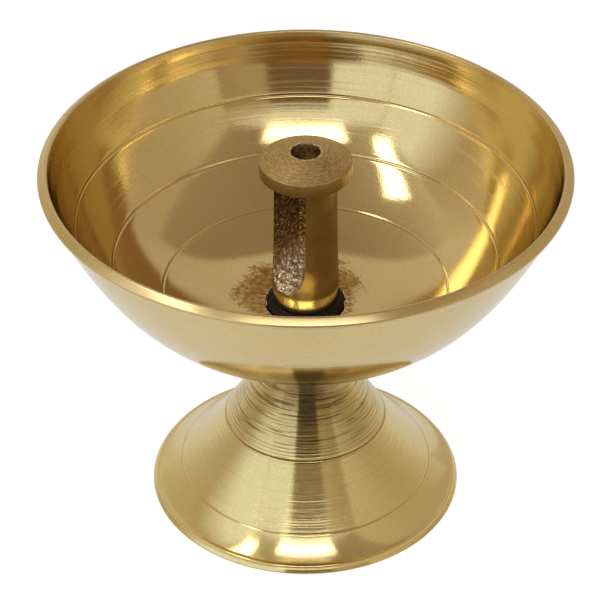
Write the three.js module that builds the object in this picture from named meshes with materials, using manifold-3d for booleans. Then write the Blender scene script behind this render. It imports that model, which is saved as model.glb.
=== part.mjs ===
// Brass pedestal oil lamp: a scored bowl on a turned trumpet foot, with a slotted wick post that
// screws down through a seal onto a stud, and a nut with its washers inside the foot.
// Millimetres, +Z up. The lamp stands on Z = 0 with its axis on Z, and the wick slot faces -Y.

import * as THREE from 'three';
import { mergeVertices } from 'three/addons/utils/BufferGeometryUtils.js';
import Module from 'manifold-3d';

// Foot
const baseRadius = 27.75;
const baseEdgeHeight = 2.1;
const baseEdgeRound = 0.5;
const footHeight = 37.2;
const neckRadius = 7.5;
const neckHeight = 31;
const flareReach = 8.3;
const flareRise = 0.51;
const neckReach = 7.9;
const footTopRadius = 9.3;
const footTopBand = 0.9;
const footWall = 2.1;
const hollowHeight = 19;
const lowGrooveAlong = 5.3;
const highGrooveAlong = 18.8;

// Bowl
const rimRadius = 45;
const bowlDepth = 28.7;
const floorWall = 1.1;
const bellyWall = 1.85;
const bellyAlong = 0.3;
const sideWall = 0.78;
const sideAlong = 0.7;
const rimWall = 1.05;
const padRadius = 9.8;
const padThickness = 0.5;
const padShoulder = 0.12;
const floorRadius = 7.6;
const floorReach = 21.4;
const sideReach = 17.3;
const sideLean = 19.5;
const lipWidth = 1.75;
const lipThickness = 1.2;
const lipRound = 0.35;
const lipBevelWidth = 0.95;
const lipBevelDrop = 0.7;
const lipInnerDrop = 0.6;
const recessDepth = 0.3;
const scorePitch = 10.8;
const scoreCount = 3;

// Turned grooves of the bowl and the foot
const grooveWidth = 0.5;
const grooveDepth = 0.22;

// Wick post
const postLength = 30;
const headRadius = 7.9;
const headEdge = 2.3;
const crownRise = 1.9;
const wickHoleRadius = 2.5;
const stemTopRadius = 5.4;
const stemFootRadius = 5.8;
const stemFootHeight = 3.4;
const stemFootRound = 1.2;
const slotWidth = 7.4;
const slotPastAxis = 2.5;
const slotFloorFront = 3.4;
const slotFloorRise = 3.4;
const tappedDepth = 3.8;

// Seal under the post
const sealRadius = 6.8;
const sealThickness = 1.5;
const sealRecessGap = 0.15;

// Stud and its hardware
const studRadius = 2.5;
const studChamfer = 0.5;
const studBelowNut = 1.8;
const studEndGap = 0.3;
const boreGap = 0.3;
const washerRadius = 5;
const washerThickness = 1;
const springWasherRadius = 4.6;
const springWasherThickness = 1.2;
const springWasherGap = 1.6;
const nutAcrossFlats = 8;
const nutHeight = 4;
const nutChamfer = 0.5;

// Faces round each turned piece
const bowlFacets = 48;
const footFacets = 40;
const postFacets = 32;
const hardwareFacets = 24;

// Steps along each curve of an outline
const bowlSteps = 14;
const footSteps = 14;
const neckSteps = 5;
const stemSteps = 5;
const roundSteps = 3;
const outlineSteps = 8;

// Corners closer than this are one corner, and a cutter runs this far past the face that it opens
const weldDistance = 1e-4;
const cutterOverrun = 0.5;

// Heights where the pieces meet, from the table up
const bowlUnderside = footHeight + padThickness;
const floorHeight = bowlUnderside + floorWall;
const rimHeight = floorHeight + bowlDepth;
const sealSeat = floorHeight - recessDepth;
const postSeat = sealSeat + sealThickness;
const postTop = postSeat + postLength;
const headUnderside = postTop - crownRise - headEdge;
const boreRadius = studRadius + boreGap;
const washerTop = hollowHeight;
const springWasherTop = washerTop - washerThickness;
const nutTop = springWasherTop - springWasherThickness;
const nutBottom = nutTop - nutHeight;
const studBottom = nutBottom - studBelowNut;
const studTop = postSeat + tappedDepth - studEndGap;

const wasm = await Module();
wasm.setup();

const brassPolished = new THREE.MeshStandardMaterial({ color: 0xd2b06a, roughness: 0.16, metalness: 1 });
const brassTurned = new THREE.MeshStandardMaterial({ color: 0xc6a35f, roughness: 0.32, metalness: 1 });
const brassCast = new THREE.MeshStandardMaterial({ color: 0x93703a, roughness: 0.45, metalness: 1 });
const blackRubber = new THREE.MeshStandardMaterial({ color: 0x17120f, roughness: 0.75, metalness: 0 });
const zincSteel = new THREE.MeshStandardMaterial({ color: 0xa9abad, roughness: 0.35, metalness: 1 });

const point = (radius, height) => new THREE.Vector2(radius, height);

// One closed triangle mesh with shared corners and without the triangles that collapse on the axis.
function welded(geometry) {
  const bare = geometry.clone();
  bare.deleteAttribute('normal');
  bare.deleteAttribute('uv');
  const merged = mergeVertices(bare, weldDistance);
  const corners = Array.from(merged.index.array);
  const kept = [];
  for (let i = 0; i < corners.length; i += 3) {
    const [a, b, c] = corners.slice(i, i + 3);
    if (a !== b && b !== c && c !== a) kept.push(a, b, c);
  }
  merged.setIndex(kept);
  return merged;
}

function solid(geometry) {
  const mesh = welded(geometry);
  return new wasm.Manifold(new wasm.Mesh({
    numProp: 3,
    vertProperties: Float32Array.from(mesh.attributes.position.array),
    triVerts: Uint32Array.from(mesh.index.array),
  }));
}

function geometryOf(body) {
  const mesh = body.getMesh();
  const geometry = new THREE.BufferGeometry();
  geometry.setAttribute('position', new THREE.BufferAttribute(Float32Array.from(mesh.vertProperties), 3));
  geometry.setIndex(Array.from(mesh.triVerts));
  return geometry;
}

function named(name, geometry, material) {
  const shaded = geometry.toNonIndexed();
  shaded.computeVertexNormals();
  const mesh = new THREE.Mesh(shaded, material);
  mesh.name = name;
  return mesh;
}

// A turned piece: the outline holds radius and height, and runs upwards along the outer surface.
function turned(outline, facets) {
  const geometry = new THREE.LatheGeometry(outline, facets);
  geometry.rotateX(Math.PI / 2);
  return welded(geometry);
}

// A ring outline is closed on itself, because its bore keeps it off the axis.
const turnedRing = (outline, facets) => turned([...outline, outline[0].clone()], facets);

const cylinder = (radius, bottom, top, facets) => turned(
  [point(0, bottom), point(radius, bottom), point(radius, top), point(0, top)],
  facets,
);

function extruded(shape, thickness) {
  const options = { depth: thickness, bevelEnabled: false, curveSegments: outlineSteps };
  return new THREE.ExtrudeGeometry(shape, options);
}

// Unit normal on the left-hand side of a curve, looking along it.
function leftOf(curve, along) {
  const tangent = curve.getTangentAt(along);
  return point(-tangent.y, tangent.x);
}

// Points along a curve with a V groove at each given distance, cut to the side that holds the metal.
function grooved(curve, divisions, distances, metalSide) {
  const length = curve.getLength();
  const width = grooveWidth / length;
  const marks = distances.map((distance) => distance / length);
  const stations = [];
  for (let i = 0; i <= divisions; i += 1) {
    const along = i / divisions;
    if (marks.every((mark) => Math.abs(mark - along) > width)) stations.push([along, 0]);
  }
  for (const mark of marks) {
    stations.push([mark - width / 2, 0], [mark, grooveDepth], [mark + width / 2, 0]);
  }
  stations.sort((a, b) => a[0] - b[0]);
  return stations.map(([along, depth]) => (
    curve.getPointAt(along).addScaledVector(leftOf(curve, along), metalSide * depth)
  ));
}

// The same curve moved sideways by the thickness of the wall at each share of its length.
function offset(curve, divisions, thicknessAt) {
  const points = [];
  for (let i = 0; i <= divisions; i += 1) {
    const along = i / divisions;
    points.push(curve.getPointAt(along).addScaledVector(leftOf(curve, along), thicknessAt(along)));
  }
  return points;
}

// The stretch of a rising outline between two heights, with its ends placed exactly on them.
function between(points, low, high) {
  const crossing = (height) => {
    const next = points.findIndex((spot) => spot.y > height);
    const [before, after] = [points[next - 1], points[next]];
    return before.clone().lerp(after, (height - before.y) / (after.y - before.y));
  };
  return [crossing(low), ...points.filter((spot) => spot.y > low && spot.y < high), crossing(high)];
}

// A rounded corner: a quarter arc from one angle to another, in degrees.
function arc(centreRadius, centreHeight, radius, from, to) {
  const points = [];
  for (let i = 0; i <= roundSteps; i += 1) {
    const angle = THREE.MathUtils.degToRad(from + ((to - from) * i) / roundSteps);
    points.push(point(centreRadius + radius * Math.cos(angle), centreHeight + radius * Math.sin(angle)));
  }
  return points;
}

// Inside of the bowl, from the flat floor out and up to the lip.
function bowlInside() {
  const start = point(floorRadius, floorHeight);
  const end = point(rimRadius - lipWidth, rimHeight - lipInnerDrop);
  const lean = THREE.MathUtils.degToRad(sideLean);
  const side = point(Math.sin(lean), Math.cos(lean)).multiplyScalar(sideReach);
  const alongFloor = point(floorRadius + floorReach, floorHeight);
  return new THREE.CubicBezierCurve(start, alongFloor, end.clone().sub(side), end);
}

// The bowl is thick at its belly, and thinnest below the lip, where most is turned away.
function bowlWallAt(along) {
  const { lerp, smoothstep } = THREE.MathUtils;
  if (along < bellyAlong) return lerp(floorWall, bellyWall, smoothstep(along, 0, bellyAlong));
  const side = lerp(bellyWall, sideWall, smoothstep(along, bellyAlong, sideAlong));
  return lerp(side, rimWall, smoothstep(along, sideAlong, 1));
}

function makeBowl() {
  const inside = bowlInside();
  const length = inside.getLength();
  const scores = [];
  for (let i = scoreCount; i >= 1; i -= 1) scores.push(length - i * scorePitch);
  const outside = offset(inside, bowlSteps, (along) => -bowlWallAt(along));
  const lipBottom = rimHeight - lipThickness;
  const body = between(outside, bowlUnderside + padShoulder, lipBottom);
  const outline = [
    point(boreRadius, footHeight),
    point(padRadius, footHeight),
    point(padRadius + padThickness, bowlUnderside),
    ...body,
    ...arc(rimRadius - lipRound, lipBottom + lipRound, lipRound, -90, 0),
    point(rimRadius, rimHeight - lipBevelDrop),
    point(rimRadius - lipBevelWidth, rimHeight),
    point(rimRadius - lipWidth + lipRound, rimHeight),
    ...grooved(inside, bowlSteps, scores, -1).reverse(),
    point(sealRadius + sealRecessGap, floorHeight),
    point(sealRadius + sealRecessGap, sealSeat),
    point(boreRadius, sealSeat),
  ];
  return named('bowl', turnedRing(outline, bowlFacets), brassPolished);
}

// Outside of the foot, from the top of the base edge in and up to the neck.
function footOutside() {
  const start = point(baseRadius - baseEdgeRound, baseEdgeHeight);
  const end = point(neckRadius, neckHeight);
  const flare = point(-1, flareRise).normalize().multiplyScalar(flareReach);
  const belowNeck = point(neckRadius, neckHeight - neckReach);
  return new THREE.CubicBezierCurve(start, start.clone().add(flare), belowNeck, end);
}

// The neck widens again in a cove to the disc that carries the bowl.
function neckToTop() {
  const bandBottom = footHeight - footTopBand;
  const neck = point(neckRadius, neckHeight);
  const corner = point(neckRadius, bandBottom);
  const cove = new THREE.QuadraticBezierCurve(neck, corner, point(footTopRadius, bandBottom));
  return cove.getPoints(neckSteps).slice(1);
}

function makeFoot() {
  const outside = footOutside();
  const inside = between(offset(outside, footSteps, () => footWall), baseEdgeHeight, hollowHeight);
  const innerEdge = inside[0].x;
  const outline = [
    point(innerEdge, 0),
    ...arc(baseRadius - baseEdgeRound, baseEdgeRound, baseEdgeRound, -90, 0),
    point(baseRadius, baseEdgeHeight - baseEdgeRound),
    ...grooved(outside, footSteps, [lowGrooveAlong, highGrooveAlong], 1),
    ...neckToTop(),
    point(footTopRadius, footHeight),
    point(boreRadius, footHeight),
    point(boreRadius, hollowHeight),
    ...inside.reverse(),
  ];
  return named('foot', turnedRing(outline, footFacets), brassTurned);
}

// The cutter for the wick slot: a flat-topped U seen from the front, whose round bottom slopes
// down from the back wall to the open side of the stem.
function slotCutter() {
  const half = slotWidth / 2;
  const reach = slotPastAxis + headRadius;
  const top = headUnderside;
  const backFloor = postSeat + slotFloorFront + slotFloorRise;
  const outline = new THREE.Shape();
  outline.moveTo(half, top);
  outline.lineTo(-half, top);
  outline.lineTo(-half, backFloor + half);
  outline.absarc(0, backFloor + half, half, Math.PI, 2 * Math.PI, false);
  outline.lineTo(half, top);
  const geometry = extruded(outline, reach);
  geometry.rotateX(Math.PI / 2);
  geometry.translate(0, slotPastAxis, 0);
  const spots = geometry.attributes.position;
  const slope = slotFloorRise / (slotPastAxis + stemFootRadius);
  const middle = (backFloor + top) / 2;
  for (let i = 0; i < spots.count; i += 1) {
    const fall = slope * (slotPastAxis - spots.getY(i));
    if (spots.getZ(i) < middle) spots.setZ(i, spots.getZ(i) - fall);
  }
  return geometry;
}

function makeWickPost() {
  const footTop = postSeat + stemFootHeight;
  const headTop = postTop - crownRise;
  const stem = new THREE.QuadraticBezierCurve(
    point(stemFootRadius, footTop),
    point(stemTopRadius, (footTop + headUnderside) / 2),
    point(stemTopRadius, headUnderside),
  );
  const outline = [
    point(0, postSeat),
    ...arc(stemFootRadius - stemFootRound, postSeat + stemFootRound, stemFootRound, -90, 0),
    ...stem.getPoints(stemSteps),
    point(headRadius, headUnderside),
    point(headRadius, headTop),
    point(wickHoleRadius, postTop),
    point(0, postTop),
  ];
  const [holeBottom, holeTop] = [headUnderside - cutterOverrun, postTop + cutterOverrun];
  const wickHole = cylinder(wickHoleRadius, holeBottom, holeTop, hardwareFacets);
  const tapped = cylinder(boreRadius, postSeat - cutterOverrun, postSeat + tappedDepth, hardwareFacets);
  const body = solid(turned(outline, postFacets))
    .subtract(solid(slotCutter()))
    .subtract(solid(wickHole))
    .subtract(solid(tapped));
  return named('wick_post', geometryOf(body), brassCast);
}

function flatRing(name, outer, bottom, top, material, facets) {
  const outline = [
    point(boreRadius, bottom),
    point(outer, bottom),
    point(outer, top),
    point(boreRadius, top),
  ];
  return named(name, turnedRing(outline, facets), material);
}

function makeStud() {
  const narrow = studRadius - studChamfer;
  const outline = [
    point(0, studBottom),
    point(narrow, studBottom),
    point(studRadius, studBottom + studChamfer),
    point(studRadius, studTop - studChamfer),
    point(narrow, studTop),
    point(0, studTop),
  ];
  return named('stud', turned(outline, hardwareFacets), zincSteel);
}

// The spring washer is a ring with a cut through it, on the side that the wick slot faces.
function makeSpringWasher() {
  const halfGap = springWasherGap / 2 / springWasherRadius;
  const shape = new THREE.Shape();
  shape.absarc(0, 0, springWasherRadius, halfGap, 2 * Math.PI - halfGap, false);
  shape.absarc(0, 0, boreRadius, 2 * Math.PI - halfGap, halfGap, true);
  const geometry = new THREE.ExtrudeGeometry(shape, {
    depth: springWasherThickness,
    bevelEnabled: false,
    curveSegments: hardwareFacets,
  });
  geometry.rotateZ(-Math.PI / 2);
  geometry.translate(0, 0, springWasherTop - springWasherThickness);
  return named('spring_washer', welded(geometry), zincSteel);
}

// Hexagon whose corners are turned back by a chamfer at both faces.
function makeNut() {
  const cornerRadius = nutAcrossFlats / 2 / Math.cos(Math.PI / 6);
  const shape = new THREE.Shape();
  for (let i = 0; i < 6; i += 1) {
    const angle = (i * Math.PI) / 3;
    const [x, y] = [cornerRadius * Math.cos(angle), cornerRadius * Math.sin(angle)];
    if (i === 0) shape.moveTo(x, y);
    else shape.lineTo(x, y);
  }
  shape.closePath();
  const hexagon = extruded(shape, nutHeight);
  hexagon.translate(0, 0, nutBottom);
  const faceRadius = nutAcrossFlats / 2;
  const coneRadius = cornerRadius + cutterOverrun;
  const coneRise = (nutChamfer * (coneRadius - faceRadius)) / (cornerRadius - faceRadius);
  const rounded = turned([
    point(0, nutBottom),
    point(faceRadius, nutBottom),
    point(coneRadius, nutBottom + coneRise),
    point(coneRadius, nutTop - coneRise),
    point(faceRadius, nutTop),
    point(0, nutTop),
  ], hardwareFacets);
  const bore = cylinder(boreRadius, nutBottom - cutterOverrun, nutTop + cutterOverrun, hardwareFacets);
  const body = solid(hexagon).intersect(solid(rounded)).subtract(solid(bore));
  return named('stud_nut', geometryOf(body), zincSteel);
}

const lamp = new THREE.Group();
lamp.add(
  makeFoot(),
  makeBowl(),
  flatRing('post_seal', sealRadius, sealSeat, postSeat, blackRubber, footFacets),
  makeWickPost(),
  makeStud(),
  flatRing('plain_washer', washerRadius, springWasherTop, washerTop, zincSteel, hardwareFacets),
  makeSpringWasher(),
  makeNut(),
);

export default lamp;
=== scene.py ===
# %% [markdown]
# # A turned brass oil lamp
#
# The lamp has an open bowl on a trumpet foot, and a slotted wick post that screws down in the
# middle of the bowl. Nearly everything is turned on a lathe, so nearly everything here is an
# outline that is spun round the Z axis. What makes it look like brass is what a lathe leaves
# behind: rings, scored lines, a duller lip, and reflections that stretch across the rings.
#
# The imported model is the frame. It gives every piece its place and its size.

# %% Load the frame
import math

import bmesh
import bpy
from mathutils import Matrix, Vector, noise
from mathutils.geometry import interpolate_bezier


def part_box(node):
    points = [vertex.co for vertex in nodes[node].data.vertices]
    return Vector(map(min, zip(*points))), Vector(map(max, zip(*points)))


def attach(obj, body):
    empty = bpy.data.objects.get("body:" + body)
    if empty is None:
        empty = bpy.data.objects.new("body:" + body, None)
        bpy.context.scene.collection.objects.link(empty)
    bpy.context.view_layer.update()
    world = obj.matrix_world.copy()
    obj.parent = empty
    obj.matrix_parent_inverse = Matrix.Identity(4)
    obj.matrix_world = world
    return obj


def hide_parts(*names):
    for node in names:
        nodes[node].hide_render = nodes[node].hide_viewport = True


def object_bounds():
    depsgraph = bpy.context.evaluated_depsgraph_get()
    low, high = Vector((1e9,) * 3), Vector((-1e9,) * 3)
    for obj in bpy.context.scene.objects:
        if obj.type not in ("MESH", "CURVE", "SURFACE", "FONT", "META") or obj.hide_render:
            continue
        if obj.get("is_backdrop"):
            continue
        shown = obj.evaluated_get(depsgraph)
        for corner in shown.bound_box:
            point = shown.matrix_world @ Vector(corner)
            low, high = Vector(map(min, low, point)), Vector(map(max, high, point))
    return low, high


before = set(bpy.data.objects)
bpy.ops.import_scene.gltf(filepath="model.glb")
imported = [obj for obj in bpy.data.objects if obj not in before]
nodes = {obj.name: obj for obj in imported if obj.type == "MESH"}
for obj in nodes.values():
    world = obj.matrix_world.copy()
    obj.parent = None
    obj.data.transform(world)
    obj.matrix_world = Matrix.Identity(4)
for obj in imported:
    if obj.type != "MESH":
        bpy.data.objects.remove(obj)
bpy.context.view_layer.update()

print("pieces in the frame:", sorted(nodes))

# %% [markdown]
# ## Units and the studio's directions
#
# Outlines are easier to read in millimetres, and Blender works in metres, so one factor takes one
# to the other. The studio is laid out as a photographer sees it: to the right, away from the
# camera, and up. The wick slot faces -Y, and the camera stands 43 degrees round from it.

# %% Units and directions
MM = 0.001
VIEW_AZIMUTH, VIEW_ELEVATION = math.radians(43.0), math.radians(36.27)
RIGHT = Vector((math.cos(VIEW_AZIMUTH), math.sin(VIEW_AZIMUTH), 0.0))
AWAY = Vector((-math.sin(VIEW_AZIMUTH), math.cos(VIEW_AZIMUTH), 0.0))
UP = Vector((0.0, 0.0, 1.0))


def studio(right, away, up):
    """A place in the studio, from millimetres to the right, away from the camera and up."""
    return (RIGHT * right + AWAY * away + UP * up) * MM


# %% [markdown]
# ## The camera
#
# A long lens, as for a product picture, keeps the two ellipses of the rim and the foot nearly
# alike. The target is a point on the axis, a little off to one side, because the lamp isn't quite
# in the middle of the picture.

# %% Camera
CAMERA_DISTANCE = 450.0
LENS, SENSOR = 154.9, 36.0
TARGET_RIGHT, TARGET_HEIGHT = -0.96, 39.13

camera = bpy.data.objects.new("camera", bpy.data.cameras.new("camera"))
bpy.context.scene.collection.objects.link(camera)
camera.data.lens = LENS
camera.data.sensor_width = SENSOR
camera_back = UP * math.sin(VIEW_ELEVATION) - AWAY * math.cos(VIEW_ELEVATION)
camera.location = studio(TARGET_RIGHT, 0, TARGET_HEIGHT) + camera_back * CAMERA_DISTANCE * MM
camera.rotation_mode = "QUATERNION"
camera.rotation_quaternion = (-camera_back).to_track_quat("-Z", "Y")
bpy.context.scene.camera = camera
bpy.context.scene.view_settings.view_transform = "Standard"
print("camera at", [round(v, 4) for v in camera.location])

# %% [markdown]
# ## Outlines
#
# A lathe tool follows a line, and so does an outline: a list of (radius, height) points. Smooth
# stretches are Bezier curves, and corners are short arcs. A scored line or a ring is a small
# relief, added square to the curve at a given distance along it. `walk` gives evenly spaced
# points, with closer ones where the relief needs them. A size named REACH is how far a curve's
# handle reaches from its end.


# %% Outline helpers
CURVE_POINTS = 400
BURR_SHARE, BURR_PLACE, BURR_SPREAD = 0.2, 0.65, 0.16


def curve(start, handle_a, handle_b, end):
    """A fine Bezier curve in the plane of the outline, in millimetres."""
    corners = [Vector((p[0], p[1], 0.0)) for p in (start, handle_a, handle_b, end)]
    return [Vector((p.x, p.y)) for p in interpolate_bezier(*corners, CURVE_POINTS)]


def arc(centre, radius, start, end, steps=4):
    """A rounded corner from one angle to another, in degrees."""
    angles = [math.radians(start + (end - start) * i / steps) for i in range(steps + 1)]
    return [
        Vector((centre[0] + radius * math.cos(a), centre[1] + radius * math.sin(a)))
        for a in angles
    ]


def lengths(points):
    """The distance along the curve at each of its points."""
    total = [0.0]
    for before, after in zip(points, points[1:]):
        total.append(total[-1] + (after - before).length)
    return total


def walk(points, spacing, relief=None, marks=(), reach=0.0, fine=0.1):
    """Points along a curve with a relief on its left side, as (point, distance) pairs."""
    along = lengths(points)
    count = max(2, round(along[-1] / spacing))
    stops = {round(along[-1] * i / count, 4) for i in range(count + 1)}
    for mark in marks:
        stops = {s for s in stops if abs(s - mark) > reach or s in (0.0, round(along[-1], 4))}
        steps = round(reach / fine)
        stops |= {round(mark + reach * i / steps, 4) for i in range(-steps, steps + 1)}
    walked = []
    place = 0
    for stop in sorted(s for s in stops if 0 <= s <= along[-1] + 1e-6):
        while place < len(points) - 2 and along[place + 1] < stop:
            place += 1
        span = points[place + 1] - points[place]
        share = (stop - along[place]) / max(span.length, 1e-9)
        left = Vector((-span.y, span.x)).normalized()
        height = relief(stop) if relief else 0.0
        walked.append((points[place] + span * share + left * height, stop))
    return walked


def groove(distance, centre, width, depth):
    """The relief of one scored line: a round-bottomed cut with a low burr beside its edges."""
    t = abs(distance - centre) / width
    cut = -depth * math.cos(min(t * 2, 1.0) * math.pi / 2) ** 2
    burr = BURR_SHARE * depth * math.exp(-((t - BURR_PLACE) / BURR_SPREAD) ** 2)
    return cut + burr


# %% [markdown]
# ## From outline to mesh
#
# The spin operator turns the outline into a solid. It copies each point's attributes to the new
# ones, so a value that is written on the outline, such as how far a point is part of the lip,
# reaches the whole ring. A material then reads it and needs no picture or map.


# %% Spin an outline
SPIN_STEPS = 256
SHARP_ANGLE = math.radians(38.0)


def spun(name, outline, closed, steps=SPIN_STEPS, marks=()):
    """Spins (point, {attribute: value}) pairs round Z. A closed outline is a ring off the axis."""
    bm = bmesh.new()
    layers = {key: bm.verts.layers.float.new(key) for key in marks}
    verts = []
    for spot, values in outline:
        vert = bm.verts.new((spot[0] * MM, 0.0, spot[1] * MM))
        for key in marks:
            vert[layers[key]] = values.get(key, 0.0)
        verts.append(vert)
    ends = list(zip(verts, verts[1:] + verts[:1])) if closed else list(zip(verts, verts[1:]))
    edges = [bm.edges.new(pair) for pair in ends]
    bmesh.ops.spin(
        bm, geom=verts + edges, cent=(0, 0, 0), axis=(0, 0, 1),
        angle=2 * math.pi, steps=steps, use_merge=True,
    )
    bmesh.ops.remove_doubles(bm, verts=bm.verts, dist=1e-7)
    bmesh.ops.recalc_face_normals(bm, faces=bm.faces)
    return finished(name, bm)


def finished(name, bm):
    """Makes a bmesh an object at the origin, smooth except across sharp edges."""
    mesh = bpy.data.meshes.new(name)
    for face in bm.faces:
        face.smooth = True
    bm.to_mesh(mesh)
    bm.free()
    mesh.set_sharp_from_angle(angle=SHARP_ANGLE)
    piece = bpy.data.objects.new(name, mesh)
    bpy.context.scene.collection.objects.link(piece)
    return piece


def told(piece):
    """Prints what a piece measures."""
    size = [round(v * 1000, 2) for v in piece.dimensions]
    mesh = piece.data
    mesh.calc_loop_triangles()
    print(f"{piece.name}: {size} mm, {len(mesh.loop_triangles)} triangles")


def plain(points, **values):
    """Gives every point of a stretch the same attributes."""
    return [(Vector(p), values) for p in points]


# %% [markdown]
# ## The bowl
#
# The bowl is spun from sheet and then turned inside and out. Its wall is one smooth sweep from the
# flat floor to a side that leans a little outwards, and turns straight just below the rim. Its lip
# is a low crown with a wide bevel, and it stands proud of the wall outside. Three lines are scored
# inside, the same distance apart, and a faint one lies near the seal. A subdivision surface could
# give the sweep, but it would blur the corners of the lip, so the outline holds every corner
# itself.

# %% Bowl sizes
_, bowl_high = (corner * 1000 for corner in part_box("bowl"))
_, foot_high = (corner * 1000 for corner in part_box("foot"))
RIM_RADIUS = bowl_high.x
RIM_HEIGHT = bowl_high.z
FOOT_HEIGHT = foot_high.z
PAD_RADIUS, PAD_THICKNESS = 9.8, 0.5
FLOOR_WALL = 1.1
FLOOR_HEIGHT = FOOT_HEIGHT + PAD_THICKNESS + FLOOR_WALL
FLOOR_RADIUS, FLOOR_REACH = 7.6, 21.4
INSIDE_REACH, INSIDE_LEAN = 17.3, math.radians(19.5)
INSIDE_SHIFT, TURN_DROP = 0.3, 4.9
BELLY_REACH = 13.9
OUTSIDE_REACH, OUTSIDE_LEAN = 27.6, math.radians(23.5)
LIP_OVERHANG = 0.65
LIP_WIDTH, LIP_THICKNESS, LIP_DROP = 1.75, 1.2, 0.6
LIP_CROWN, LIP_ROUND, LIP_LOWER_ROUND = 0.35, 0.3, 0.45
BEVEL_WIDTH, BEVEL_DROP, BEVEL_SLOPE = 1.15, 0.95, 48
SCORE_FIRST, SCORE_PITCH, SCORE_WIDTH, SCORE_DEPTH = 10.9, 10.5, 0.55, 0.07
FAINT_SCORE, FAINT_WIDTH, FAINT_DEPTH = 3.4, SCORE_WIDTH * 1.5, SCORE_DEPTH / 10
SEAL_RECESS_RADIUS, RECESS_DEPTH = 6.95, 0.3
BURR_STEPS = ((0.35, 0.03, 0.5), (0.1, 0.06, 1.0), (0.0, 0.0, 1.0))
STUD_BORE = 2.8

# %% Bowl outline
lip_edge = Vector((RIM_RADIUS - LIP_WIDTH, RIM_HEIGHT - LIP_DROP))


def bowl_sweep(start, floor_reach, end, side_reach, lean):
    """A curve that starts level and ends in a side that leans by an angle from upright."""
    side = Vector((math.sin(lean), math.cos(lean))) * side_reach
    return curve(start, (start[0] + floor_reach, start[1]), Vector(end) - side, end)


floor_edge = (FLOOR_RADIUS + INSIDE_SHIFT, FLOOR_HEIGHT)
sweep_end = lip_edge + Vector((INSIDE_SHIFT, 0))
bowl_inside = bowl_sweep(floor_edge, FLOOR_REACH, sweep_end, INSIDE_REACH, INSIDE_LEAN)
bowl_inside = [spot for spot in bowl_inside if spot.y < RIM_HEIGHT - TURN_DROP]
straight_steps = 50
bowl_inside += [
    bowl_inside[-1].lerp(lip_edge, i / straight_steps) for i in range(1, straight_steps + 1)
]
inside_length = lengths(bowl_inside)[-1]
scores = [inside_length - SCORE_FIRST - SCORE_PITCH * i for i in (2, 1, 0)]


def bowl_relief(distance):
    """Three scored lines, and a faint fourth one near the seal."""
    deep = sum(groove(distance, s, SCORE_WIDTH, SCORE_DEPTH) for s in scores)
    return deep + groove(distance, FAINT_SCORE, FAINT_WIDTH, FAINT_DEPTH)


inside_walk = walk(bowl_inside, 0.7, bowl_relief, [FAINT_SCORE] + scores, reach=0.5, fine=0.07)
inner = []
for spot, distance in inside_walk:
    # How far a point lies in a scored line, for the painted shade there.
    in_cut = max(0.0, 1 - min(abs(distance - s) for s in scores) / (SCORE_WIDTH / 2))
    inner.append((spot, {"inside": 1.0, "cut": in_cut}))

lip_bottom = RIM_HEIGHT - LIP_THICKNESS
pad_edge = (PAD_RADIUS + PAD_THICKNESS, FOOT_HEIGHT + PAD_THICKNESS)
wall_top = (RIM_RADIUS - LIP_OVERHANG, lip_bottom)
bowl_outside = bowl_sweep(pad_edge, BELLY_REACH, wall_top, OUTSIDE_REACH, OUTSIDE_LEAN)
outer = [(spot, {}) for spot, _ in walk(bowl_outside, 0.9)]

crown = RIM_HEIGHT + LIP_CROWN
lower_centre = (RIM_RADIUS - LIP_LOWER_ROUND, lip_bottom + LIP_LOWER_ROUND)
bevel_low_centre = (RIM_RADIUS - LIP_ROUND, crown - BEVEL_DROP)
bevel_high_centre = (RIM_RADIUS - BEVEL_WIDTH - 0.1, crown - LIP_ROUND)
inner_centre = (RIM_RADIUS - LIP_WIDTH + LIP_ROUND + 0.04, crown - LIP_ROUND)
lip_corner = (
    arc(lower_centre, LIP_LOWER_ROUND, -100, 0, 6)
    + arc(bevel_low_centre, LIP_ROUND, 0, BEVEL_SLOPE)
    + arc(bevel_high_centre, LIP_ROUND, BEVEL_SLOPE, 90)
    + arc(inner_centre, LIP_ROUND, 90, 165)
)

recess_floor = FLOOR_HEIGHT - RECESS_DEPTH
burr_edge = [
    (Vector((SEAL_RECESS_RADIUS + out, FLOOR_HEIGHT + up)), {"inside": 1.0, "burr": share})
    for out, up, share in BURR_STEPS
]
bowl_outline = (
    plain([(STUD_BORE, FOOT_HEIGHT), (PAD_RADIUS, FOOT_HEIGHT)])
    + outer[:-1]
    + plain(lip_corner, lip=1.0)
    + inner[::-1]
    + burr_edge
    + plain([(SEAL_RECESS_RADIUS, recess_floor), (STUD_BORE, recess_floor)])
)
bowl = spun("bowl_turned", bowl_outline, closed=True, marks=("inside", "lip", "cut", "burr"))
print("scored lines at", [round(s, 1) for s in scores], "of", round(inside_length, 1), "mm")
told(bowl)

# %% [markdown]
# The recess for the seal was cut in a hurry: its edge is torn into small teeth that catch the
# light. Moving each point of that edge by a noise that changes quickly round the ring gives the
# teeth, and the attribute on the outline says which points belong to the edge.

# %% Torn edge of the seal recess
TEETH, TOOTH_DEPTH, TOOTH_SINK = 26.0, 0.18, 0.04

burr = bowl.data.attributes["burr"].data
for vert in bowl.data.vertices:
    share = burr[vert.index].value
    if share > 0:
        flat = Vector((vert.co.x, vert.co.y, 0)).normalized()
        bite = noise.noise(flat * TEETH) * TOOTH_DEPTH * share
        vert.co += (flat * bite + UP * max(bite, -TOOTH_SINK)) * MM

# %% [markdown]
# ## The foot
#
# The foot is a casting that is turned outside and left hollow below. Near the neck the tool went
# round with a coarse feed, and left rings that show as brown and gold lines. Further down the
# surface was brushed. Two scored lines go round it, with three light ones above the upper. The edge
# it stands on slopes in to a small round ridge. The coarse rings are real relief, because they
# break up the reflection. The fine ones are left to the material.

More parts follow.
